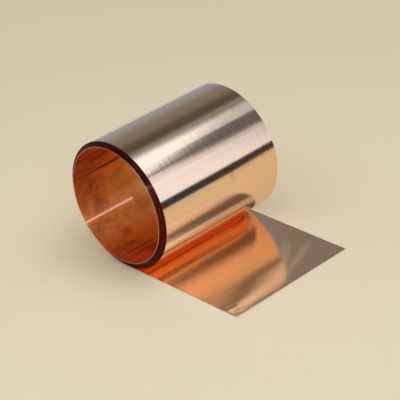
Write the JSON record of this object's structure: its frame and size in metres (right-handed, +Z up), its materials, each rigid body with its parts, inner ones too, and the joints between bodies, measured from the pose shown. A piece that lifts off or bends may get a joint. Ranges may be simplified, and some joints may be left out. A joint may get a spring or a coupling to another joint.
{
  "type": "coil of thin copper foil strip",
  "caption": "Hollow coil of thin copper foil lying on its side, with the free end of the strip run out flat and cut square.",
  "frame": {"origin": "on the floor, under the middle of the box around the coil and its free end", "axes": "+Y along the coil's bore, +X the way the free end runs out, +Z up"},
  "size_m": [0.144, 0.1024, 0.088],
  "materials": {
    "copper_foil": "bright rolled copper, nearly mirror-like along the strip, dark red-brown at the stacked edges of the turns"
  },
  "bodies": {
    "root": {"copper_foil_coil": "copper_foil"}
  },
  "joints": []
}
